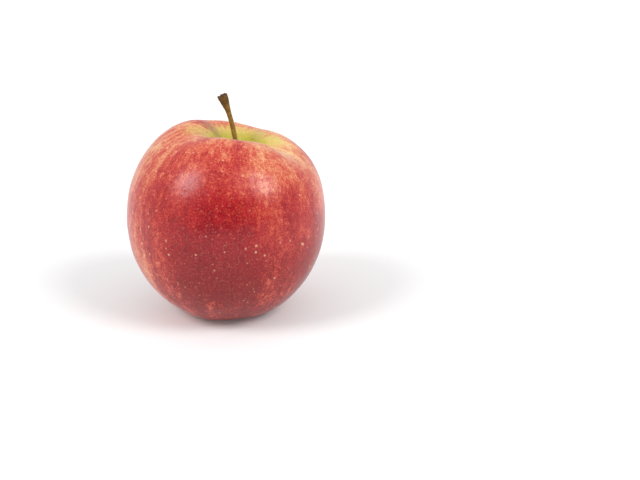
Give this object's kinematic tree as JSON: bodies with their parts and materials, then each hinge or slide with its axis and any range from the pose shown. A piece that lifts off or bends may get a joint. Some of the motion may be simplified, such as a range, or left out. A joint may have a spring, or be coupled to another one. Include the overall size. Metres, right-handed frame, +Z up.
{
  "type": "apple",
  "caption": "Red and yellow apple with its stem in the hollow on top and the dried flower remains in the hollow underneath, standing on a small flat spot.",
  "frame": {"origin": "on the ground plane, under the middle of the fruit", "axes": "+Z up through the fruit from its flower end to its stem, +X to the right in the picture's view, +Y away from the viewer"},
  "size_m": [0.0792, 0.0792, 0.0882],
  "materials": {
    "apple_skin": "satin",
    "stem_wood": "matte",
    "dried_sepal": "matte",
    "dried_stamens": "matte"
  },
  "bodies": {
    "root": {"fruit": "apple_skin", "stem": "stem_wood", "sepal_1": "dried_sepal", "sepal_2": "dried_sepal", "sepal_3": "dried_sepal", "sepal_4": "dried_sepal", "sepal_5": "dried_sepal", "stamen_tuft": "dried_stamens"}
  },
  "joints": []
}
